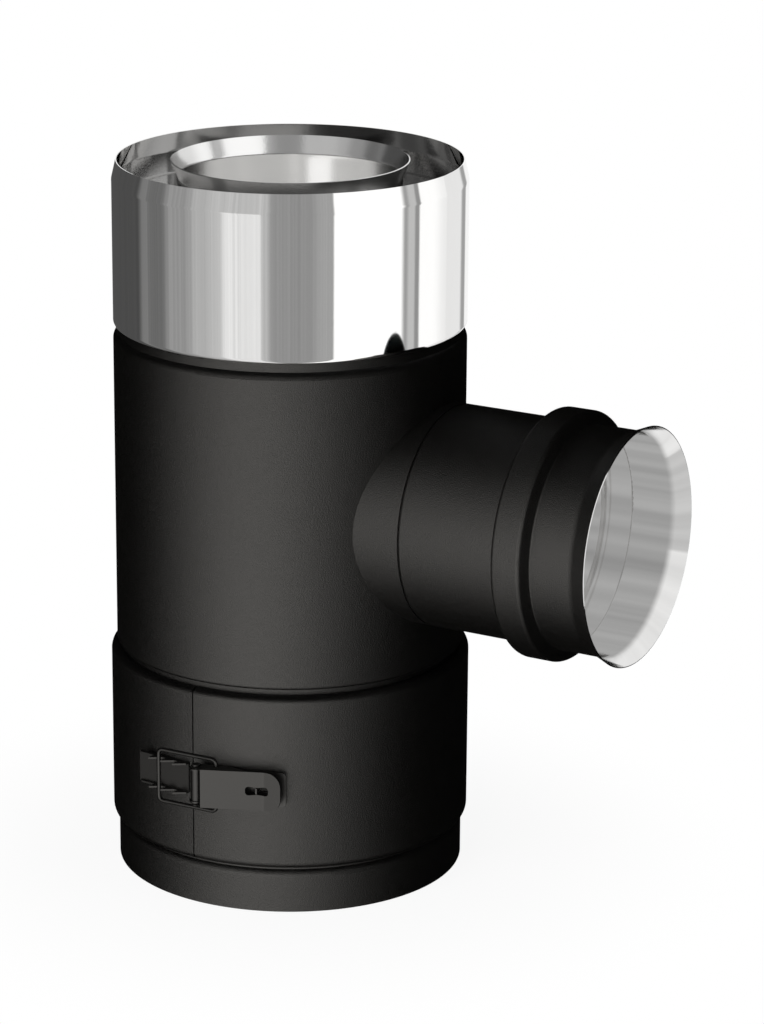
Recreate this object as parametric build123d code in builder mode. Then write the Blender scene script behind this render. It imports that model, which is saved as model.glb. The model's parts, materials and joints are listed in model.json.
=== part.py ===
from build123d import *
from math import cos, radians, sin
import os

# Twin-wall flue tee. An insulated jacket carries a single-wall branch pipe and a bare coupling sleeve at its
# top. A short capped element closes the lower end, held by a wide split band with a toggle latch.
# Millimetres. The origin is on the pipe axis at the bottom face, +Z is up and the branch points along +X.

# Sheet
sheet = 0.8
band_sheet = 1.0
latch_sheet = 1.2
seat_gap = 0.1

# Jacket and the coupling that ends both elements
jacket_r = 125.0
body_h = 219.0
cap_ring_h = 26.0
neck_depth = 2.8
shoulder_h = 5.3
neck_h = 5.7
tail_h = 14.0
lip_gap = 0.3
lip_h = 3.5
sleeve_straight_h = 100.0
taper_h = 13.5
rim_inset = 3.1
rim_bend_r = 8.0

# Lower end of the jacket, which slips over the coupling of the element below
joint_gap = 14.0
lower_edge_h = 3.0
lower_neck_h = 5.0
skirt_flare_h = 5.0
skirt_h = 25.0
skirt_gap = 0.3

# Inner flue pipe and its sockets
socket_r = 78.0
bore_r = 76.5
flare_rise = 4.9
flare_h = 12.0
socket_depth = 68.0
socket_step_h = 6.0
socket_bend_r = 5.0
rim_drop = 1.0
male_end_gap = 5.0

# Cover rings and insulation
cover_drop = 30.0
cover_flange_h = 10.0
cover_bend_r = 3.0
bottom_cover_rise = 4.0

# Closed pot and bottom of the cap
pot_floor_z = 30.0
pot_bend_r = 8.0
end_flange_h = 12.0
end_bend_r = 3.0

# Branch, lengths from the pipe axis
branch_rise = 107.5
branch_r = 78.4
branch_length = 276.5
branch_seam_s = 132.5
seam_gap = 0.5
tail_clearance = 0.15
tail_start_s = 94.0
stub_end_s = 128.0
stub_clearance = 0.25
stub_saddle_gap = 0.05
wool_hole_gap = 2.0
bead_back_s = 208.3
bead_crest_l = 21.7
bead_slope_l = 3.8
bead_rise = 9.0
bead_bend_r = 3.0
bead_foot_r = 1.4
branch_flare_l = 12.0
branch_flare_rise = 5.0
branch_flare_bend_r = 9.0

# Locking band
band_stand = 3.05
band_edge_r = 5.0
band_lip_gap = 0.3
band_cap_inset = 2.2
band_body_inset = 1.5
band_slit_w = 1.0
band_slit_azimuth = -0.6

# Toggle latch: shared values
latch_z = 95.0
plate_gap = 0.05
wire_r = 1.1
running_gap = 0.08
side_gap = 0.3

# Keeper with its two rows of hook teeth
keeper_azimuth = -4.9
keeper_left = -36.5
keeper_right = 6.8
keeper_half = 11.4
tooth_count = 3
tooth_pitch = 10.5
tooth_ramp = 7.7
tooth_tip_h = 9.6
tooth_valley_h = 3.6
first_hook_u = -22.3
keeper_corner = 3.0

# Base plate with its ears and its staple tongue
base_azimuth = 16.5
base_left = -33.0
base_right = 31.0
base_half = 12.6
base_corner = 3.0
pivot_u = -32.5
pivot_h = 5.2
ear_r = 5.0
ear_foot_l = 11.0
tongue_u = 12.1
tongue_w = 4.0
tongue_h = 8.5
tongue_window_l = 8.5
tongue_window_gap = 0.4

# Lever, measured from its pivot along its own face
lever_tilt = 7.3
lever_depth = 8.4
lever_face_start = 3.8
lever_face_end = 48.2
lever_tip_l = 13.0
lever_tip_angle = 18.0
lever_tip_corner_r = 10.0
lever_bend_r = 6.0
lever_edge_r = 1.0
lever_eye_r = 3.7
flange_heel_x = 25.0
flange_heel_h = -0.2
flange_end_x = 36.0
slot_centre_x = 43.6
slot_half_l = 8.2
slot_half_w = 3.5
slot_waist_half_w = 2.6
slot_end_r = 2.4
slot_waist_r = 3.0

# Pivot pin and wire bail
pin_r = 2.0
pin_head_r = 3.2
pin_head_h = 1.0
bail_eye_x = 14.2
bail_eye_h = 1.3
bail_arm_half = 17.7
bail_end_half = 11.9
bail_bend_r = 3.0
bail_reach = 46.1
bail_turn = 1.5

# Heights that follow
neck_r = jacket_r - neck_depth
rim_r = jacket_r - rim_inset
sleeve_h = lip_h + sleeve_straight_h + taper_h
coupling_h = shoulder_h + neck_h + sleeve_h
cap_rim_z = cap_ring_h + coupling_h
body_z = cap_rim_z + joint_gap
body_top_z = body_z + body_h
top_z = body_top_z + coupling_h
branch_z = body_z + branch_rise
lower_neck_z = body_z - lower_edge_h - lower_neck_h
liner_top_z = top_z - rim_drop
pot_top_z = cap_rim_z - rim_drop
liner_bottom_z = pot_top_z - socket_depth + male_end_gap
top_cover_z = top_z - cover_drop
cap_cover_z = cap_rim_z - cover_drop
bottom_cover_z = body_z + bottom_cover_rise

# Radii that follow
socket_outer_r = socket_r + sheet
liner_r = bore_r + sheet
skirt_r = jacket_r + skirt_gap + sheet
collar_bore_r = branch_r - sheet
tail_r = collar_bore_r - tail_clearance
stub_r = tail_r - sheet - stub_clearance
band_r = jacket_r + band_stand + band_sheet
plate_r = band_r + plate_gap

# Planes and axes that the pieces share
branch_plane = Plane(origin=(0, 0, branch_z), x_dir=(1, 0, 0), z_dir=(0, -1, 0))
branch_section = Plane(origin=(0, 0, branch_z), x_dir=(0, 1, 0), z_dir=(1, 0, 0))
branch_axis = Axis((0, 0, branch_z), (1, 0, 0))


def plate_plan(azimuth):
    """Plan plane of a flat plate on the band: x along the plate, y outwards, origin on its inner face."""
    angle = radians(azimuth)
    foot = (plate_r * sin(angle), -plate_r * cos(angle), latch_z)
    return Plane(origin=foot, x_dir=(cos(angle), sin(angle), 0), z_dir=(0, 0, -1))


def neck_outline(shoulder_z):
    """Outer face from the top of a neck's tail down to the shoulder that it stands on."""
    neck_foot_z = shoulder_z + shoulder_h
    Line((neck_r, neck_foot_z + neck_h + tail_h), (neck_r, neck_foot_z))
    TangentArc((jacket_r, shoulder_z), (neck_r, neck_foot_z), tangent=(0, 1))


def sleeve_outline(rim_z):
    """Outer face of a coupling sleeve, from its tapered rim down to the lip that rolls onto the neck."""
    foot_z = rim_z - sleeve_h
    lip_z = foot_z + lip_h
    FilletPolyline(
        (rim_r, rim_z),
        (jacket_r, rim_z - taper_h),
        (jacket_r, lip_z),
        radius=rim_bend_r,
    )
    TangentArc((jacket_r, lip_z), (neck_r + lip_gap, foot_z), tangent=(0, -1))


def socket_points(rim_z):
    """Outer face of a flue socket, from its flared mouth down to the plain pipe below it."""
    return [
        (socket_outer_r + flare_rise, rim_z),
        (socket_outer_r, rim_z - flare_h),
        (socket_outer_r, rim_z - socket_depth + socket_step_h / 2),
        (liner_r, rim_z - socket_depth - socket_step_h / 2),
    ]


def cover_points(face_z, inner_r, flange_turn):
    """Outer face of a cover ring, a flat ring with a flange at each edge turned up (1) or down (-1)."""
    flange_z = face_z + flange_turn * cover_flange_h
    outer_r = jacket_r - sheet - seat_gap
    return [
        (inner_r + seat_gap, flange_z),
        (inner_r + seat_gap, face_z),
        (outer_r, face_z),
        (outer_r, flange_z),
    ]


# Jacket: neck and shoulder, straight body, lower neck and the skirt that hides in the band
with BuildPart() as jacket_body:
    with BuildSketch(Plane.XZ):
        with BuildLine():
            neck_outline(body_top_z)
            Line((jacket_r, body_top_z), (jacket_r, body_z))
            TangentArc((jacket_r, body_z), (neck_r, body_z - lower_edge_h), tangent=(0, -1))
            Polyline(
                (neck_r, body_z - lower_edge_h),
                (neck_r, lower_neck_z),
                (skirt_r, lower_neck_z - skirt_flare_h),
                (skirt_r, lower_neck_z - skirt_flare_h - skirt_h),
            )
            offset(amount=sheet, side=Side.RIGHT)
        make_face()
    revolve(axis=Axis.Z)
    with BuildSketch(branch_section):
        Circle(collar_bore_r)
    extrude(amount=jacket_r + sheet, mode=Mode.SUBTRACT)

# Bare coupling sleeve of the tee
with BuildPart() as top_sleeve:
    with BuildSketch(Plane.XZ):
        with BuildLine():
            sleeve_outline(top_z)
            offset(amount=sheet, side=Side.RIGHT)
        make_face()
    revolve(axis=Axis.Z)

# Flue pipe: flared socket at the top, plain bore, male end in the pot below, and the branch opening
with BuildPart() as inner_liner:
    with BuildSketch(Plane.XZ):
        with BuildLine():
            FilletPolyline(
                *socket_points(liner_top_z),
                (liner_r, liner_bottom_z),
                radius=socket_bend_r,
            )
            offset(amount=sheet, side=Side.RIGHT)
        make_face()
    revolve(axis=Axis.Z)
    with BuildSketch(branch_section):
        Circle(stub_r - sheet)
    extrude(amount=jacket_r, mode=Mode.SUBTRACT)

# Stub of the flue pipe, which carries the smoke into the branch pipe
with BuildPart() as branch_stub:
    with BuildSketch(branch_section):
        Circle(stub_r)
        Circle(stub_r - sheet, mode=Mode.SUBTRACT)
    extrude(amount=stub_end_s)
    with BuildSketch(Plane.XY.offset(body_z)):
        Circle(liner_r + stub_saddle_gap)
    extrude(amount=body_h, mode=Mode.SUBTRACT)

# Collar on the jacket, cut to its curve
with BuildPart() as branch_collar:
    with BuildSketch(branch_section):
        Circle(branch_r)
        Circle(collar_bore_r, mode=Mode.SUBTRACT)
    extrude(amount=branch_seam_s - seam_gap / 2)
    with BuildSketch(Plane.XY.offset(body_z)):
        Circle(jacket_r + stub_saddle_gap)
    extrude(amount=body_h, mode=Mode.SUBTRACT)

# Branch pipe: tail inside the collar, step at the seam, bead and flared mouth
with BuildPart() as branch_pipe:
    bead_front_s = bead_back_s + bead_crest_l
    step_s = branch_seam_s + seam_gap / 2
    with BuildSketch(branch_plane):
        with BuildLine():
            FilletPolyline(
                (tail_start_s, tail_r),
                (step_s, tail_r),
                (step_s + sheet + tail_clearance, branch_r),
                (bead_back_s, branch_r),
                (bead_back_s, branch_r + bead_rise),
                (bead_front_s, branch_r + bead_rise),
                (bead_front_s + bead_slope_l, branch_r),
                (branch_length - branch_flare_l, branch_r),
                (branch_length, branch_r + branch_flare_rise),
                radius=[
                    bead_foot_r,
                    bead_foot_r,
                    bead_foot_r,
                    bead_bend_r,
                    bead_bend_r,
                    bead_foot_r,
                    branch_flare_bend_r,
                ],
            )
            offset(amount=sheet, side=Side.RIGHT)
        make_face()
    revolve(axis=branch_axis)

# Insulation between flue pipe and jacket, narrowed at the upper neck and round the socket
with BuildPart() as body_insulation:
    wool_foot_z = bottom_cover_z + cover_flange_h + seat_gap
    wool_head_z = top_cover_z - cover_flange_h - seat_gap
    wool_step_z = liner_top_z - socket_depth - socket_step_h
    with BuildSketch(Plane.XZ):
        with BuildLine():
            Polyline(
                (liner_r + seat_gap, wool_foot_z),
                (jacket_r - sheet - seat_gap, wool_foot_z),
                (jacket_r - sheet - seat_gap, body_top_z - sheet),
                (neck_r - sheet - seat_gap, body_top_z - sheet),
                (neck_r - sheet - seat_gap, wool_head_z),
                (socket_outer_r + seat_gap, wool_head_z),
                (socket_outer_r + seat_gap, wool_step_z),
                (liner_r + seat_gap, wool_step_z),
                close=True,
            )
        make_face()
    revolve(axis=Axis.Z)
    with BuildSketch(branch_section):
        Circle(branch_r + wool_hole_gap)
    extrude(amount=jacket_r + sheet, mode=Mode.SUBTRACT)

# Ring that closes the gap between flue pipe and sleeve, below the rim
with BuildPart() as top_cover_ring:
    with BuildSketch(Plane.XZ):
        with BuildLine():
            FilletPolyline(*cover_points(top_cover_z, socket_outer_r, -1), radius=cover_bend_r)
            offset(amount=sheet, side=Side.RIGHT)
        make_face()
    revolve(axis=Axis.Z)

# Ring that closes the insulation at the lower end of the tee
with BuildPart() as bottom_cover_ring:
    with BuildSketch(Plane.XZ):
        with BuildLine():
            FilletPolyline(*cover_points(bottom_cover_z, liner_r, 1), radius=cover_bend_r)
            offset(amount=sheet, side=Side.LEFT)
        make_face()
    revolve(axis=Axis.Z)

# Cap shell: the short ring below the band, with the same shoulder and neck as the tee
with BuildPart() as cap_shell:
    with BuildSketch(Plane.XZ):
        with BuildLine():
            neck_outline(cap_ring_h)
            Line((jacket_r, cap_ring_h), (jacket_r, 0))
            offset(amount=sheet, side=Side.RIGHT)
        make_face()
    revolve(axis=Axis.Z)

# Bare coupling sleeve of the cap, hidden in the band
with BuildPart() as cap_sleeve:
    with BuildSketch(Plane.XZ):
        with BuildLine():
            sleeve_outline(cap_rim_z)
            offset(amount=sheet, side=Side.RIGHT)
        make_face()
    revolve(axis=Axis.Z)

# Closed pot with a socket for the male end of the flue pipe
with BuildPart() as cap_pot:
    with BuildSketch(Plane.XZ):
        with BuildLine():
            FilletPolyline(
                *socket_points(pot_top_z),
                (liner_r, pot_floor_z),
                (0, pot_floor_z),
                radius=[socket_bend_r, socket_bend_r, socket_bend_r, pot_bend_r],
            )
            offset(amount=sheet, side=Side.RIGHT)
        make_face()
    revolve(axis=Axis.Z)

# Insulation round and under the pot
with BuildPart() as cap_insulation:
    cap_wool_r = neck_r - sheet - seat_gap
    cap_wool_head_z = cap_cover_z - cover_flange_h - seat_gap
    cap_wool_step_z = pot_top_z - socket_depth - socket_step_h
    with BuildSketch(Plane.XZ):
        with BuildLine():
            Polyline(
                (0, sheet + seat_gap),
                (cap_wool_r, sheet + seat_gap),
                (cap_wool_r, cap_wool_head_z),
                (socket_outer_r + seat_gap, cap_wool_head_z),
                (socket_outer_r + seat_gap, cap_wool_step_z),
                (liner_r + seat_gap, cap_wool_step_z),
                (liner_r + seat_gap, pot_floor_z - seat_gap),
                (0, pot_floor_z - seat_gap),
                close=True,
            )
        make_face()
    revolve(axis=Axis.Z)

# Ring that closes the insulation of the cap
with BuildPart() as cap_cover_ring:
    with BuildSketch(Plane.XZ):
        with BuildLine():
            FilletPolyline(*cover_points(cap_cover_z, socket_outer_r, -1), radius=cover_bend_r)
            offset(amount=sheet, side=Side.RIGHT)
        make_face()
    revolve(axis=Axis.Z)

# Flat bottom of the cap, a pressed disc with an upturned flange
with BuildPart() as cap_end_plate:
    with BuildSketch(Plane.XZ):
        with BuildLine():
            FilletPolyline(
                (0, 0),
                (jacket_r - sheet - seat_gap, 0),
                (jacket_r - sheet - seat_gap, end_flange_h),
                radius=end_bend_r,
            )
            offset(amount=sheet, side=Side.LEFT)
        make_face()
    revolve(axis=Axis.Z)

# Split band whose rolled edges seat in the cap's neck and in the tee's lower neck
with BuildPart() as locking_band:
    band_foot_z = cap_ring_h + shoulder_h + band_cap_inset
    band_head_z = lower_neck_z + band_body_inset
    band_lip_r = neck_r + band_lip_gap
    slit_angle = radians(band_slit_azimuth)
    slit_plane = Plane(
        origin=(band_r * sin(slit_angle), -band_r * cos(slit_angle), band_foot_z),
        x_dir=(cos(slit_angle), sin(slit_angle), 0),
        z_dir=(0, 0, 1),
    )
    with BuildSketch(Plane.XZ):
        with BuildLine():
            FilletPolyline(
                (band_lip_r, band_head_z),
                (band_r, band_head_z),
                (band_r, band_foot_z),
                (band_lip_r, band_foot_z),
                radius=band_edge_r,
            )
            offset(amount=band_sheet, side=Side.RIGHT)
        make_face()
    revolve(axis=Axis.Z)
    with BuildSketch(slit_plane):
        Rectangle(band_slit_w, 4 * band_edge_r)
    extrude(amount=band_head_z - band_foot_z, mode=Mode.SUBTRACT)

# Keeper: a flat plate with a row of hook teeth folded up along its top and its bottom edge
keeper_plan = plate_plan(keeper_azimuth)
with BuildPart() as keeper_plate:
    teeth = [(keeper_left, 0), (keeper_left, tooth_valley_h - keeper_corner)]
    teeth.append((keeper_left + keeper_corner, tooth_valley_h))
    for tooth in range(tooth_count):
        hook_u = first_hook_u + tooth * tooth_pitch
        teeth.append((hook_u, tooth_valley_h))
        teeth.append((hook_u, tooth_tip_h))
        teeth.append((hook_u + tooth_ramp, tooth_valley_h))
    teeth.append((keeper_right, 0))
    with BuildSketch(keeper_plan):
        with Locations(((keeper_left + keeper_right) / 2, latch_sheet / 2)):
            Rectangle(keeper_right - keeper_left, latch_sheet)
    extrude(amount=keeper_half, both=True)
    with BuildSketch(keeper_plan.offset(keeper_half - latch_sheet)):
        with BuildLine():
            Polyline(*teeth, close=True)
        make_face()
    extrude(amount=latch_sheet)
    with BuildSketch(keeper_plan.offset(latch_sheet - keeper_half)):
        with BuildLine():
            Polyline(*teeth, close=True)
        make_face()
    extrude(amount=-latch_sheet)

# Base plate: two ears folded up for the pin, and a tongue lanced from the plate for the lever's slot
base_plan = plate_plan(base_azimuth)
base_face = Plane(origin=base_plan.origin, x_dir=base_plan.x_dir, z_dir=base_plan.y_dir)
with BuildPart() as latch_base:
    with BuildSketch(base_face):
        with Locations(((base_left + base_right) / 2, 0)):
            Rectangle(base_right - base_left, 2 * base_half)
        with Locations((tongue_u + tongue_window_l / 2, 0)):
            Rectangle(tongue_window_l, tongue_w + 2 * tongue_window_gap, mode=Mode.SUBTRACT)
    extrude(amount=latch_sheet)
    plate_corners = latch_base.edges().filter_by(Axis(base_face.origin, base_face.z_dir))
    fillet(plate_corners.group_by(Axis(base_face.origin, base_face.x_dir))[-1], base_corner)
    with BuildSketch(base_plan):
        with Locations((tongue_u - latch_sheet / 2, tongue_h / 2)):
            Rectangle(latch_sheet, tongue_h)
    extrude(amount=tongue_w / 2, both=True)
    for ear_plane, turn in (
        (base_plan.offset(base_half - latch_sheet), 1),
        (base_plan.offset(latch_sheet - base_half), -1),
    ):
        with BuildSketch(ear_plane):
            with BuildLine():
                CenterArc((pivot_u, pivot_h), ear_r, 0, 360)
                Line((base_left, 0), (base_left + ear_foot_l, 0))
                Line((base_left + ear_foot_l, 0), (base_left + ear_foot_l, latch_sheet))
            make_hull()
            with Locations((pivot_u, pivot_h)):
                Circle(pin_r + running_gap, mode=Mode.SUBTRACT)
        extrude(amount=turn * latch_sheet)

# Lever: a channel that lies over the base, with a bow-tie slot for the tongue and a turned-out finger tip
pivot = base_plan.from_local_coords((pivot_u, pivot_h, 0))
pivot_plan = Plane(origin=pivot, x_dir=base_plan.x_dir, z_dir=base_plan.z_dir)
lever_plan = pivot_plan.rotated((0, 0, lever_tilt))
lever_half = base_half + side_gap + latch_sheet
lever_face = Plane(
    origin=lever_plan.from_local_coords((slot_centre_x, lever_depth, 0)),
    x_dir=lever_plan.x_dir,
    z_dir=lever_plan.y_dir,
)
with BuildPart() as latch_lever:
    tip_angle = radians(lever_tip_angle)
    with BuildSketch(lever_plan):
        with BuildLine():
            FilletPolyline(
                (lever_face_start, lever_depth),
                (lever_face_end, lever_depth),
                (
                    lever_face_end + lever_tip_l * cos(tip_angle),
                    lever_depth + lever_tip_l * sin(tip_angle),
                ),
                radius=lever_bend_r,
            )
            offset(amount=latch_sheet, side=Side.RIGHT)
        make_face()
    extrude(amount=lever_half, both=True)
    tip_end = latch_lever.faces().sort_by(Axis(lever_plan.origin, lever_plan.x_dir))[-1]
    tip_corners = tip_end.edges().sort_by(Axis.Z)
    fillet([tip_corners[0], tip_corners[-1]], lever_tip_corner_r)
    with BuildSketch(lever_face):
        with BuildLine():
            Polyline(
                (-slot_half_l, -slot_half_w),
                (0, -slot_waist_half_w),
                (slot_half_l, -slot_half_w),
                (slot_half_l, slot_half_w),
                (0, slot_waist_half_w),
                (-slot_half_l, slot_half_w),
                close=True,
            )
        slot = make_face()
        slot_corners = slot.vertices().sort_by(Axis.X)
        fillet(slot_corners[:2] + slot_corners[-2:], slot_end_r)
    extrude(amount=-2 * latch_sheet, both=True, mode=Mode.SUBTRACT)
    for flange_plane, turn in (
        (lever_plan.offset(lever_half - latch_sheet), 1),
        (lever_plan.offset(latch_sheet - lever_half), -1),
    ):
        with BuildSketch(flange_plane):
            with BuildLine():
                CenterArc((0, 0), lever_eye_r, 0, 360)
                Polyline(
                    (flange_heel_x, flange_heel_h),
                    (flange_end_x, lever_depth - latch_sheet),
                    (flange_end_x, lever_depth),
                    (lever_face_start, lever_depth),
                )
            make_hull()
            Circle(pin_r + running_gap, mode=Mode.SUBTRACT)
            with Locations((bail_eye_x, bail_eye_h)):
                Circle(wire_r + running_gap, mode=Mode.SUBTRACT)
        extrude(amount=turn * latch_sheet)

# Pivot pin with a head over each lever flange
with BuildPart() as lever_pin:
    with BuildSketch(lever_plan):
        Circle(pin_r)
    extrude(amount=lever_half + running_gap + pin_head_h, both=True)
    for head_plane, turn in (
        (lever_plan.offset(lever_half + running_gap), 1),
        (lever_plan.offset(-lever_half - running_gap), -1),
    ):
        with BuildSketch(head_plane):
            Circle(pin_head_r)
        extrude(amount=turn * pin_head_h)

# Bail: one bent wire, both ends turned in through the lever's flanges
bail_eye = lever_plan.from_local_coords((bail_eye_x, bail_eye_h, 0))
bail_angle = radians(bail_turn)
bail_plane = Plane(
    origin=bail_eye,
    x_dir=(-cos(bail_angle), -sin(bail_angle), 0),
    z_dir=(sin(bail_angle), -cos(bail_angle), 0),
)
with BuildPart() as latch_bail:
    with BuildLine(bail_plane) as bail_path:
        FilletPolyline(
            (0, bail_end_half),
            (0, bail_arm_half),
            (bail_reach, bail_arm_half),
            (bail_reach, -bail_arm_half),
            (0, -bail_arm_half),
            (0, -bail_end_half),
            radius=bail_bend_r,
        )
    with BuildSketch(Plane(origin=bail_path.line @ 0, z_dir=bail_path.line % 0)):
        Circle(wire_r)
    sweep()

pieces = {
    "jacket_body": jacket_body,
    "top_sleeve": top_sleeve,
    "inner_liner": inner_liner,
    "branch_stub": branch_stub,
    "branch_collar": branch_collar,
    "branch_pipe": branch_pipe,
    "body_insulation": body_insulation,
    "top_cover_ring": top_cover_ring,
    "bottom_cover_ring": bottom_cover_ring,
    "cap_shell": cap_shell,
    "cap_sleeve": cap_sleeve,
    "cap_pot": cap_pot,
    "cap_insulation": cap_insulation,
    "cap_cover_ring": cap_cover_ring,
    "cap_end_plate": cap_end_plate,
    "locking_band": locking_band,
    "keeper_plate": keeper_plate,
    "latch_base": latch_base,
    "latch_lever": latch_lever,
    "lever_pin": lever_pin,
    "latch_bail": latch_bail,
}
os.makedirs("parts", exist_ok=True)
for name, piece in pieces.items():
    piece.part.label = name
    export_step(piece.part, f"parts/{name}.step")

print("lever pivot", lever_plan.origin)
print("bail eye", bail_eye)
print("bail cross wire", bail_plane.from_local_coords((bail_reach, 0, 0)))
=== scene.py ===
import bmesh
import bpy
import json
from math import cos, degrees, radians, sin, tan
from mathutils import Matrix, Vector


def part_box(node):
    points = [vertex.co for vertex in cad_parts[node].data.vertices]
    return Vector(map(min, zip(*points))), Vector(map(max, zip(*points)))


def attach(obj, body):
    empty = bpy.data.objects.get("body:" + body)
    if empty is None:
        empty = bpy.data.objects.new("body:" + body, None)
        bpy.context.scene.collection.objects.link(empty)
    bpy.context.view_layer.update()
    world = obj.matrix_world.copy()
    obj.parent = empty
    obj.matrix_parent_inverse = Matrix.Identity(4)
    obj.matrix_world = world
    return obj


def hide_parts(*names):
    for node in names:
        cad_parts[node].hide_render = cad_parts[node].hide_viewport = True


# Twin-wall flue tee: black coated jacket, branch and locking band; bare steel sleeve, flue pipe and branch bore
# Metres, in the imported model's own frame: +Z up on the pipe axis, branch along +X, latch on the -Y side
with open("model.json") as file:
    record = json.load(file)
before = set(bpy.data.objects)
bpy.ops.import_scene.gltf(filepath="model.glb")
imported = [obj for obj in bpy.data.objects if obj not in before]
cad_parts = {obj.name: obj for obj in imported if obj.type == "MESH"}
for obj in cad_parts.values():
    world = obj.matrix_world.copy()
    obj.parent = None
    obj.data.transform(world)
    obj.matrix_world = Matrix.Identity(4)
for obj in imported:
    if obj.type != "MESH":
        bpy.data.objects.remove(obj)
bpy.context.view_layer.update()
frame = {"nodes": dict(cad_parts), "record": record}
nodes = frame["nodes"]

# Photograph: an image of 764 by 1024, its camera in front, above and a little to the branch side
image_w = 764
image_h = 1024
focal_px = 3728.0
axis_px = 290.2
camera_azimuth = 31.2
camera_pitch = 17.06
camera_distance = 2.555
camera_height = 1.0406
sensor_long = 36.0

# Latch, in millimetres, along the flat base plate on the band, out from it and down
latch_z = 95.0
plate_r = 129.1
base_azimuth = 16.5
pivot_along = -32.5
pivot_out = 5.2
eye_along = -18.25
eye_out = 4.685
wire_r = 1.55
wire_turn = radians(14.4)
wire_reach = 46.6
wire_arm_half = 19.2
wire_end_half = 11.9
wire_bend_r = 3.6
barrel_r = 4.1
barrel_sheet = 1.0
barrel_half = 11.3
barrel_start = -70.0
barrel_turn = 290.0

# Studio panels that the bare steel mirrors, by the angle from the camera's side, left negative:
# where a panel starts, how soft its edge is, and its level
steel_panels = [
    (-172.0, 4.0, 0.075),
    (-111.0, 3.0, 0.2),
    (-102.0, 2.0, 0.15),
    (-86.0, 4.0, 0.31),
    (-66.0, 4.0, 0.45),
    (-52.0, 6.0, 0.54),
    (-43.5, 1.5, 0.82),
    (-18.0, 2.0, 0.48),
    (-13.0, 2.0, 0.3),
    (16.0, 3.0, 0.37),
    (27.5, 0.8, 1.15),
    (76.0, 2.0, 0.36),
    (80.0, 1.5, 0.55),
    (86.0, 1.0, 0.3),
    (90.0, 1.0, 1.1),
    (112.0, 10.0, 0.85),
    (143.0, 3.0, 0.36),
    (153.0, 2.0, 0.95),
]
ceiling_level = 0.17

# Studio shells, one inside the other, and the lights inside the two bores
shell_height = 0.25
steel_shell_r = 6.0
branch_shell_r = 1.45
jacket_shell_r = 1.3
flue_light_low = 0.06
flue_light_high = 0.495
flue_light_r = 0.06
mouth_light_low = 0.09
mouth_light_high = 0.36
mouth_light_r = 0.0755

# Soft lamp in the branch's and the jacket's shells, in degrees: its middle and how far it reaches each way
lamp_turn = -25.0
lamp_rise = -15.0
reach_right = 78.0
reach_left = 64.0
reach_up = 117.0
reach_down = 60.0
lamp_tint = (1.03, 1.0, 0.95)

# Branch pipe: its axis height, and where the wall inside its bead counts as bare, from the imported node
branch_low, branch_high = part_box("branch_pipe")
branch_z = (branch_low.z + branch_high.z) / 2
bead_middle_x = 0.219
mouth_edge_l = 0.0022
mouth_flare_l = 0.02

# Powder coat grain: how fine it is and how high it stands
grain_scale = 1200.0
grain_strength = 0.9
grain_height = 0.0004


class Value:
    """An output socket of a node tree; arithmetic on it adds the Math nodes."""

    def __init__(self, tree, socket):
        self.tree = tree
        self.socket = socket

    def math(self, operation, *others, clamp=False):
        settings = {"operation": operation, "use_clamp": clamp}
        return self.tree.add("ShaderNodeMath", settings, dict(enumerate((self, *others))))

    def __add__(self, other):
        return self.math("ADD", other)

    def __radd__(self, other):
        return self.math("ADD", other)

    def __sub__(self, other):
        return self.math("SUBTRACT", other)

    def __rsub__(self, other):
        return (self * -1.0).math("ADD", other)

    def __mul__(self, other):
        return self.math("MULTIPLY", other)

    def __rmul__(self, other):
        return self.math("MULTIPLY", other)

    def __truediv__(self, other):
        return self.math("DIVIDE", other)

    def __abs__(self):
        return self.math("ABSOLUTE")

    def __gt__(self, other):
        return self.math("GREATER_THAN", other)

    def __lt__(self, other):
        return self.math("LESS_THAN", other)

    def least(self, other):
        return self.math("MINIMUM", other)

    def most(self, other):
        return self.math("MAXIMUM", other)

    def clamped(self):
        return self.math("ADD", 0.0, clamp=True)

    def ease(self, low, high):
        """0 below low, 1 above high, smooth between them."""
        sockets = {"Value": self, "From Min": low, "From Max": high}
        return self.tree.add("ShaderNodeMapRange", {"interpolation_type": "SMOOTHSTEP"}, sockets, "Result")


class Tree:
    """A shader tree; add() makes any node from its type, settings and sockets."""

    def __init__(self, owner):
        owner.use_nodes = True
        self.tree = owner.node_tree
        self.tree.nodes.clear()

    def add(self, kind, settings=None, sockets=None, output=0):
        node = self.tree.nodes.new(kind)
        for key, setting in (settings or {}).items():
            setattr(node, key, setting)
        for key, item in (sockets or {}).items():
            if isinstance(item, Value):
                self.tree.links.new(item.socket, node.inputs[key])
            else:
                node.inputs[key].default_value = item
        return Value(self, node.outputs[output]) if node.outputs else None

    def parts(self, vector):
        """The X, Y and Z values of a vector."""
        split = self.add("ShaderNodeSeparateXYZ", None, {0: vector})
        outputs = split.socket.node.outputs
        return [Value(self, outputs[axis]) for axis in range(3)]

    def mix(self, factor, low, high):
        """Colour between low and high."""
        sockets = {0: factor, 6: low, 7: high}
        return self.add("ShaderNodeMix", {"data_type": "RGBA"}, sockets, 2)

    def noise(self, place, scale, detail=2.0, roughness=0.5):
        sockets = {"Vector": place, "Scale": scale, "Detail": detail, "Roughness": roughness}
        return self.add("ShaderNodeTexNoise", None, sockets, "Fac")

    def bump(self, height, strength, distance):
        sockets = {"Height": height, "Strength": strength, "Distance": distance}
        return self.add("ShaderNodeBump", None, sockets, "Normal")


neutral = (1.0, 1.0, 1.0)
warm = (1.06, 1.0, 0.94)
steel_tint = (1.0, 0.995, 0.985)


def rgb(level, tint=neutral):
    return (level * tint[0], level * tint[1], level * tint[2], 1.0)


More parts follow.
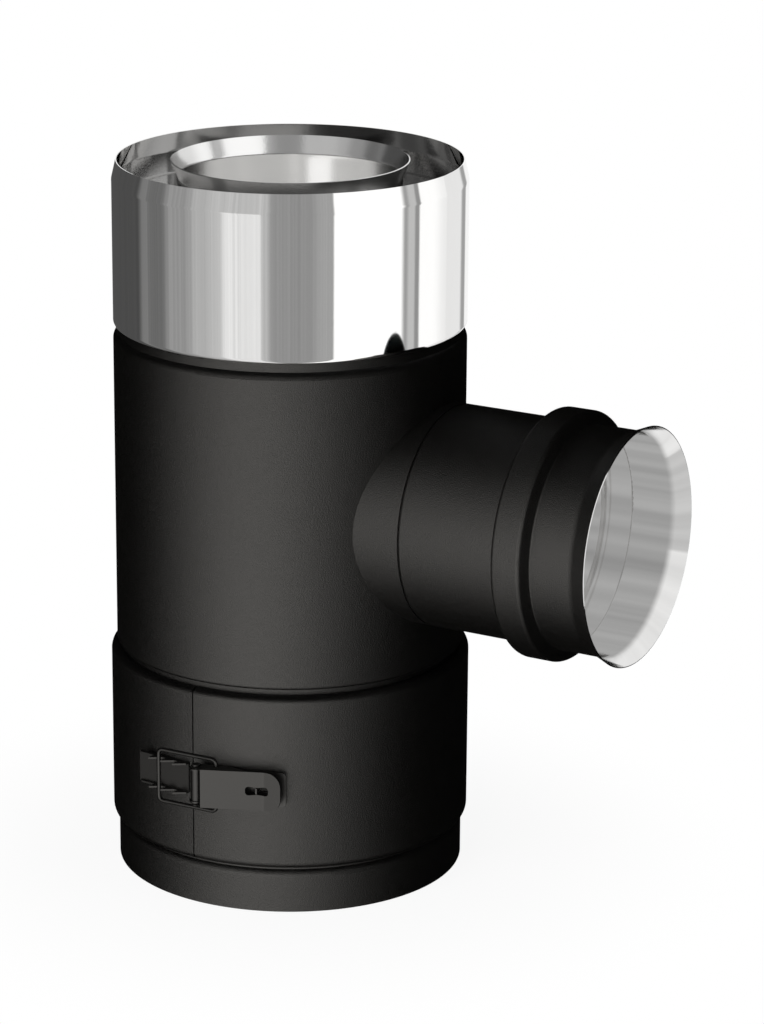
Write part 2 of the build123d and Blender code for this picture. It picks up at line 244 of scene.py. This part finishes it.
def finish_of(name, paint):
    """Makes a material whose surface the paint function gives as Principled sockets."""
    material = bpy.data.materials.new(name)
    tree = Tree(material)
    place = tree.add("ShaderNodeTexCoord", None, None, "Object")
    surface = tree.add("ShaderNodeBsdfPrincipled", None, paint(tree, place))
    tree.add("ShaderNodeOutputMaterial", None, {"Surface": surface})
    return material


def coat_grain(tree, place):
    return tree.noise(place, grain_scale, 3.0, 0.7)


def coat_sockets(tree, place):
    """Black powder coat: fine grain in the bump, the gloss and the colour."""
    grain = coat_grain(tree, place)
    cloud = tree.noise(place, 22.0, 2.0)
    fleck = tree.noise(place, 1300.0, 1.0).ease(0.58, 0.72)
    level = 0.001 + cloud * 0.0008 + fleck * 0.006
    return {
        "Base Color": tree.mix(level.clamped(), rgb(0.0), rgb(1.0, warm)),
        "Roughness": 0.3 + grain * 0.08 + cloud * 0.03,
        "Specular IOR Level": 0.6,
        "Normal": tree.bump(grain, grain_strength, grain_height),
    }


def bare_sockets(tree, place, roughness, level, streak):
    """Bare rolled stainless sheet: fine streaks round the pipe and a soft cloud in the gloss."""
    x, y, z = tree.parts(place)
    rolled = tree.add("ShaderNodeCombineXYZ", None, {0: x * 12.0, 1: y * 12.0, 2: z * streak})
    grain = tree.noise(rolled, 20.0, 3.0, 0.6)
    cloud = tree.noise(place, 9.0, 2.0)
    shade = (level + grain * 0.03 + cloud * 0.03).clamped()
    return {
        "Base Color": tree.mix(shade, rgb(0.0), rgb(1.0, steel_tint)),
        "Metallic": 1.0,
        "Roughness": roughness + grain * roughness * 0.25 + cloud * roughness * 0.15,
        "Normal": tree.bump(grain, 0.02, 0.0002),
    }


def polished_sockets(tree, place):
    return bare_sockets(tree, place, 0.035, 0.88, 3.0)


def satin_sockets(tree, place):
    sockets = bare_sockets(tree, place, 0.14, 0.8, 60.0)
    speck = tree.noise(place, 700.0, 2.0)
    sockets["Normal"] = tree.bump(speck, 0.12, 0.0003)
    return sockets


def branch_sockets(tree, place):
    """Branch pipe: coated outside, bare inside, bare on the cut edge of the mouth."""
    coat = coat_sockets(tree, place)
    bare = satin_sockets(tree, place)
    x, y, z = tree.parts(place)
    facing = tree.add("ShaderNodeTexCoord", None, None, "Normal")
    turn_x, turn_y, turn_z = tree.parts(facing)
    outward = y * turn_y + (z - branch_z) * turn_z
    radius = (y * y + (z - branch_z) * (z - branch_z)).math("SQRT")
    inner_face = outward < radius * -0.15
    mouth_side = (turn_x > 0.9) * (abs(outward) < radius * 0.4)
    hidden = mouth_side * (x < bead_middle_x)
    edge = (x > branch_high.x - mouth_edge_l) * (turn_x > 0.2)
    flare = x > branch_high.x - mouth_flare_l
    inside = inner_face.most(hidden).most(edge)
    gloss = bare["Roughness"] * (0.6 - flare * 0.3)
    grain = coat_grain(tree, place) * (1.0 - inside * 0.96)
    return {
        "Base Color": tree.mix(inside, coat["Base Color"], bare["Base Color"]),
        "Metallic": inside,
        "Roughness": coat["Roughness"] + inside * (gloss - coat["Roughness"]),
        "Specular IOR Level": coat["Specular IOR Level"],
        "Normal": tree.bump(grain, grain_strength, grain_height),
    }


def wool_sockets(tree, place):
    """Mineral wool: yellow-grey fibre with a coarse felted surface."""
    fibre = tree.noise(place, 160.0, 6.0, 0.7)
    cloud = tree.noise(place, 25.0, 2.0)
    return {
        "Base Color": tree.mix(cloud, (0.42, 0.36, 0.2, 1.0), (0.6, 0.54, 0.36, 1.0)),
        "Roughness": 0.9 + fibre * 0.08,
        "Normal": tree.bump(fibre, 0.8, 0.002),
    }


def latch_sockets(tree, place):
    """Black coat on the pressed latch parts, thinner and a little smoother than on the band."""
    grain = tree.noise(place, 1800.0, 2.0)
    return {
        "Base Color": tree.mix(grain * 0.003 + 0.002, rgb(0.0), rgb(1.0, warm)),
        "Roughness": 0.32 + grain * 0.1,
        "Normal": tree.bump(grain, 0.2, 0.0002),
    }


finishes = {
    "black_coat": finish_of("black_coat", coat_sockets),
    "polished_steel": finish_of("polished_steel", polished_sockets),
    "satin_steel": finish_of("satin_steel", satin_sockets),
    "black_latch": finish_of("black_latch", latch_sockets),
    "wool": finish_of("wool", wool_sockets),
    "branch_finish": finish_of("branch_finish", branch_sockets),
}

# Each node takes the finish of its slot in the record; the branch pipe has two finishes in one
node_finish = {part["node"]: part["material_slot"] for part in frame["record"]["subparts"]}
node_finish["branch_pipe"] = "branch_finish"
smooth_angle = radians(28.0)
for node_name, node in nodes.items():
    node.data.materials.clear()
    node.data.materials.append(finishes[node_finish[node_name]])
    node.data.shade_smooth()
    node.data.set_sharp_from_angle(angle=smooth_angle)


def plate_point(azimuth, along, out, down):
    """Point on the latch: along a flat plate on the band, out from it and down, all in millimetres."""
    turn = radians(azimuth)
    x = plate_r * sin(turn) + along * cos(turn) + out * sin(turn)
    y = -plate_r * cos(turn) + along * sin(turn) - out * cos(turn)
    return Vector((x, y, latch_z - down)) / 1000.0


def rounded_run(corners, radius, steps=6):
    """Points of a flat run of straight lines whose inner corners are rounded."""
    points = [Vector(corners[0])]
    for before, corner, after in zip(corners, corners[1:], corners[2:]):
        corner = Vector(corner)
        inward = (Vector(before) - corner).normalized()
        onward = (Vector(after) - corner).normalized()
        half = inward.angle(onward) / 2
        middle = corner + (inward + onward).normalized() * (radius / sin(half))
        start = corner + inward * (radius / tan(half))
        end = corner + onward * (radius / tan(half))
        for step in range(steps + 1):
            arm = (start - middle).lerp(end - middle, step / steps).normalized() * radius
            points.append(middle + arm)
    points.append(Vector(corners[-1]))
    return points


def make_wire():
    """Bail of the latch: one round wire, its ends turned in through the lever's flanges."""
    eye = Vector((eye_along, eye_out))
    back = Vector((-cos(wire_turn), -sin(wire_turn)))
    corners = [
        (0.0, wire_end_half),
        (0.0, wire_arm_half),
        (wire_reach, wire_arm_half),
        (wire_reach, -wire_arm_half),
        (0.0, -wire_arm_half),
        (0.0, -wire_end_half),
    ]
    curve = bpy.data.curves.new("bail_wire", "CURVE")
    curve.dimensions = "3D"
    run = curve.splines.new("POLY")
    points = rounded_run(corners, wire_bend_r)
    run.points.add(len(points) - 1)
    for spline_point, (reach, down) in zip(run.points, points):
        place = eye + back * reach
        spline_point.co = (*plate_point(base_azimuth, place.x, place.y, down), 1.0)
    curve.bevel_depth = wire_r / 1000.0
    curve.bevel_resolution = 6
    curve.use_fill_caps = True
    wire = bpy.data.objects.new("bail_wire", curve)
    bpy.context.scene.collection.objects.link(wire)
    curve.materials.append(finishes["black_latch"])
    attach(wire, "bail")
    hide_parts("latch_bail")
    return wire


def make_barrel():
    """Rolled end of the base plate, which wraps the hinge pin between the lever's flanges."""
    mesh = bpy.data.meshes.new("hinge_barrel")
    form = bmesh.new()
    sections = 40
    rings = []
    for down in (-barrel_half, barrel_half):
        outer = []
        inner = []
        for section in range(sections + 1):
            angle = radians(barrel_start + barrel_turn * section / sections)
            for radius, ring in ((barrel_r, outer), (barrel_r - barrel_sheet, inner)):
                along = pivot_along + radius * cos(angle)
                out = pivot_out + radius * sin(angle)
                ring.append(form.verts.new(plate_point(base_azimuth, along, out, down)))
        rings.append(outer + inner[::-1])
    count = len(rings[0])
    for corner in range(count):
        following = (corner + 1) % count
        form.faces.new((rings[0][corner], rings[0][following], rings[1][following], rings[1][corner]))
    half = count // 2
    for ring in rings:
        for section in range(half - 1):
            opposite = count - 1 - section
            form.faces.new((ring[section], ring[section + 1], ring[opposite - 1], ring[opposite]))
    bmesh.ops.recalc_face_normals(form, faces=form.faces)
    form.to_mesh(mesh)
    form.free()
    mesh.shade_smooth()
    mesh.set_sharp_from_angle(angle=smooth_angle)
    mesh.materials.append(finishes["black_latch"])
    barrel = bpy.data.objects.new("hinge_barrel", mesh)
    bpy.context.scene.collection.objects.link(barrel)
    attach(barrel, "tee")
    return barrel


def direction(azimuth, elevation):
    """Unit vector from the part towards an azimuth, counted from -Y towards +X, and an elevation."""
    a = radians(azimuth)
    e = radians(elevation)
    return Vector((sin(a) * cos(e), -cos(a) * cos(e), sin(e)))


def make_floor():
    """Pale floor: white to the camera with a soft shadow near the part, open to mirror rays."""
    size = 12.0
    clear_radius = 0.35
    mesh = bpy.data.meshes.new("floor")
    corners = [(-size, -size, 0.0), (size, -size, 0.0), (size, size, 0.0), (-size, size, 0.0)]
    mesh.from_pydata(corners, [], [(0, 1, 2, 3)])
    floor = bpy.data.objects.new("floor", mesh)
    floor.location.z = -0.0003
    bpy.context.scene.collection.objects.link(floor)
    material = bpy.data.materials.new("pale_floor")
    tree = Tree(material)
    place = tree.add("ShaderNodeTexCoord", None, None, "Object")
    x, y, z = tree.parts(place)
    away = (x * x + y * y).math("SQRT").ease(0.13, clear_radius)
    seen = tree.add("ShaderNodeLightPath", None, None, "Is Camera Ray")
    mirrored = tree.add("ShaderNodeLightPath", None, None, "Is Glossy Ray")
    plain = tree.add("ShaderNodeBsdfDiffuse", None, {"Color": rgb(0.85)})
    white = tree.add("ShaderNodeEmission", None, {"Color": rgb(1.0), "Strength": 1.0})
    open_air = tree.add("ShaderNodeBsdfTransparent", None, None)
    share = seen * (0.9 + away * 0.1)
    lit = tree.add("ShaderNodeMixShader", None, {0: share, 1: plain, 2: white})
    whole = tree.add("ShaderNodeMixShader", None, {0: mirrored, 1: lit, 2: open_air})
    tree.add("ShaderNodeOutputMaterial", None, {"Surface": whole})
    mesh.materials.append(material)


def make_air():
    """White air to the camera and a soft grey fill; the shells below carry what the part mirrors."""
    world = bpy.data.worlds.new("studio")
    bpy.context.scene.world = world
    tree = Tree(world)
    seen = tree.add("ShaderNodeLightPath", None, None, "Is Camera Ray")
    mirrored = tree.add("ShaderNodeLightPath", None, None, "Is Glossy Ray")
    fill_level = 0.45
    level = seen + (1.0 - seen) * (1.0 - mirrored) * fill_level
    back = tree.add("ShaderNodeBackground", None, {"Color": rgb(1.0), "Strength": level})
    tree.add("ShaderNodeOutputWorld", None, {"Surface": back})


def glow_piece(name, mesh, level, mirrors, tree, tint, clearness=rgb(1.0)):
    """Stage piece that only the given pieces mirror; it glows at the level and lets rays pass on."""
    piece = bpy.data.objects.new(name, mesh)
    bpy.context.scene.collection.objects.link(piece)
    piece.visible_camera = False
    piece.visible_diffuse = False
    piece.visible_transmission = False
    piece.visible_shadow = False
    glow = tree.add("ShaderNodeEmission", None, {"Color": rgb(1.0, tint), "Strength": level})
    clear = tree.add("ShaderNodeBsdfTransparent", None, {"Color": clearness})
    both = tree.add("ShaderNodeAddShader", None, {0: glow, 1: clear})
    tree.add("ShaderNodeOutputMaterial", None, {"Surface": both})
    receivers = bpy.data.collections.new(name + "_receivers")
    for mirror in mirrors:
        receivers.objects.link(mirror)
    piece.light_linking.receiver_collection = receivers
    return piece


def glow_tree(name, mesh):
    material = bpy.data.materials.new(name)
    tree = Tree(material)
    material.cycles.emission_sampling = "NONE"
    mesh.materials.append(material)
    return tree, tree.add("ShaderNodeTexCoord", None, None, "Object")


def turn_of(tree, x, y):
    """Angle round the pipe from the camera's side, in degrees, left negative."""
    front = direction(camera_azimuth, 0.0)
    side = direction(camera_azimuth + 90.0, 0.0)
    ahead = x * front.x + y * front.y
    across = x * side.x + y * side.y
    return across.math("ARCTAN2", ahead) * degrees(1.0)


def make_shell(name, radius, paint, mirrors, tint=neutral):
    """Studio shell round the part: what the given pieces mirror, by angle and height."""
    mesh = bpy.data.meshes.new(name)
    form = bmesh.new()
    bmesh.ops.create_icosphere(form, subdivisions=5, radius=radius)
    form.to_mesh(mesh)
    form.free()
    tree, place = glow_tree(name, mesh)
    ray = tree.add("ShaderNodeVectorMath", {"operation": "NORMALIZE"}, {0: place})
    x, y, z = tree.parts(ray)
    height = z.math("ARCSINE") * degrees(1.0)
    shell = glow_piece(name, mesh, paint(tree, turn_of(tree, x, y), height), mirrors, tree, tint)
    shell.location.z = shell_height


def make_bore_light(name, low, high, radius, axis, paint, mirrors, shut=0.0):
    """Light inside a bore, along Z or X, that only the bore mirrors; with shut at 1 it hides what is past it."""
    mesh = bpy.data.meshes.new(name)
    form = bmesh.new()
    length = high - low
    bmesh.ops.create_cone(form, cap_ends=True, segments=64, radius1=radius, radius2=radius, depth=length)
    form.to_mesh(mesh)
    form.free()
    tree, place = glow_tree(name, mesh)
    x, y, z = tree.parts(place)
    behind = tree.add("ShaderNodeNewGeometry", None, None, "Backfacing")
    level = paint(tree, x, y, z) * (1.0 - behind)
    clearness = tree.mix(1.0 - (1.0 - behind) * shut, rgb(0.0), rgb(1.0))
    light = glow_piece(name, mesh, level, mirrors, tree, neutral, clearness)
    if axis == "X":
        light.rotation_euler = (0.0, radians(90.0), 0.0)
        light.location = ((low + high) / 2, 0.0, branch_z)
    else:
        light.location.z = (low + high) / 2


def steel_light(tree, turn, height):
    """What the bare steel mirrors: grey panels, the one at the camera striped, and white ones to the right."""
    wall = 1.0
    level = 1.0
    for edge, soft, next_level in steel_panels:
        wall = wall + turn.ease(edge - soft, edge + soft) * (next_level - level)
        level = next_level
    stripe = tree.noise(turn, 0.3, 4.0, 0.7)
    striped = (1.0 - turn.ease(24.0, 27.0)) * turn.ease(-150.0, -140.0)
    wall = wall * (1.0 + striped * (0.7 * (stripe - 0.5)))
    card = turn.ease(-46.0, -42.0) * (1.0 - turn.ease(-20.0, -17.0))
    wall = wall * (1.0 - card * height.ease(-2.0, 6.0) * 0.35)
    light = wall + height.ease(42.0, 58.0) * (ceiling_level - wall)
    mirrored_again = tree.add("ShaderNodeLightPath", None, None, "Glossy Depth") > 1.5
    return light * (1.0 - mirrored_again * 0.62)


def lamp_light(turn, height):
    """One wide soft lamp in front of the black coat, to the left of the camera and a little below it."""
    across = turn - lamp_turn
    across = across.most(0.0) / reach_right + across.least(0.0) / reach_left
    rise = height - lamp_rise
    rise = rise.most(0.0) / reach_up + rise.least(0.0) / reach_down
    off_centre = (across * across + rise * rise).math("SQRT")
    return 1.0 - off_centre.ease(0.0, 1.0)


def branch_light(tree, turn, height):
    """What the branch mirrors: the lamp, its light fading out well above the horizon."""
    return lamp_light(turn, height) * (1.0 - height.ease(27.0, 64.0)) * 2.4 + 0.004


def jacket_light(tree, turn, height):
    """What the upright pieces mirror: the lamp cut off above the horizon, so that shoulders stay black."""
    return lamp_light(turn, height) * (1.0 - height.ease(-4.0, 22.0)) * 2.65 + 0.004


def flue_light(tree, x, y, z):
    """Even, with one white stripe down the far side."""
    turn = turn_of(tree, x, y)
    stripe = turn.ease(163.0, 166.0) * (1.0 - turn.ease(172.0, 175.0))
    return 0.17 + stripe * 0.55


def mouth_light(tree, x, y, z):
    """Even in the bore, white in front of the mouth, with a grey patch on the far side."""
    along = z + (mouth_light_high + mouth_light_low) / 2
    outside = along.ease(branch_high.x - 0.016, branch_high.x - 0.008)
    angle = x.math("ARCTAN2", y) * degrees(1.0)
    patch = angle.ease(-35.0, -33.0) * (1.0 - angle.ease(17.0, 19.0))
    sweep = tree.noise(angle, 0.06, 2.0)
    rings = tree.noise(along * 1000.0, 0.25, 1.0).ease(0.52, 0.6) * (1.0 - along.ease(0.16, 0.19))
    return 0.42 + 0.4 * (sweep - 0.5) + rings * 0.9 + outside * (0.5 - patch * 0.28)


def make_lamp(name, azimuth, elevation, distance, size, watts):
    """Square soft lamp aimed at the middle of the part; steel mirrors the surround, not the lamps."""
    data = bpy.data.lights.new(name, "AREA")
    data.size = size
    data.energy = watts
    lamp = bpy.data.objects.new(name, data)
    away = direction(azimuth, elevation)
    lamp.location = away * distance + Vector((0.0, 0.0, 0.25))
    lamp.rotation_euler = (-away).to_track_quat("-Z", "Y").to_euler()
    lamp.visible_glossy = False
    bpy.context.scene.collection.objects.link(lamp)


def make_camera():
    data = bpy.data.cameras.new("camera")
    data.sensor_width = sensor_long
    data.lens = focal_px / image_h * sensor_long
    data.shift_x = (image_w / 2 - axis_px) / image_h
    camera = bpy.data.objects.new("camera", data)
    away = direction(camera_azimuth, 0.0)
    camera.location = away * camera_distance + Vector((0.0, 0.0, camera_height))
    camera.rotation_euler = (radians(90.0 - camera_pitch), 0.0, radians(camera_azimuth))
    data.clip_end = 100.0
    bpy.context.scene.collection.objects.link(camera)
    bpy.context.scene.camera = camera


latch_pieces = [make_wire(), make_barrel()]
bare_names = [name for name in nodes if node_finish[name] in ("polished_steel", "satin_steel")]
branch_names = ["branch_pipe", "branch_collar"]
upright_names = [name for name in nodes if name not in bare_names + branch_names]
bare_pieces = [nodes[name] for name in bare_names]
branch_pieces = [nodes[name] for name in branch_names]
upright_pieces = [nodes[name] for name in upright_names] + latch_pieces
# The thin wire stands close off the band, whose coat mirrors the lamp past it
latch_pieces[0].visible_glossy = False
make_floor()
make_air()
make_shell("steel_surround", steel_shell_r, steel_light, bare_pieces)
make_shell("branch_surround", branch_shell_r, branch_light, branch_pieces, lamp_tint)
make_shell("jacket_surround", jacket_shell_r, jacket_light, upright_pieces, lamp_tint)
flue_bore = (flue_light_low, flue_light_high, flue_light_r, "Z")
branch_bore = (mouth_light_low, mouth_light_high, mouth_light_r, "X")
make_bore_light("flue_light", *flue_bore, flue_light, [nodes["inner_liner"]])
make_bore_light("mouth_light", *branch_bore, mouth_light, [nodes["branch_pipe"]], shut=1.0)
make_lamp("key", camera_azimuth - 30.0, 45.0, 2.2, 1.4, 24.0)
make_lamp("fill", camera_azimuth + 60.0, 35.0, 2.4, 1.6, 10.0)
make_camera()
bpy.context.scene.view_settings.view_transform = "Standard"
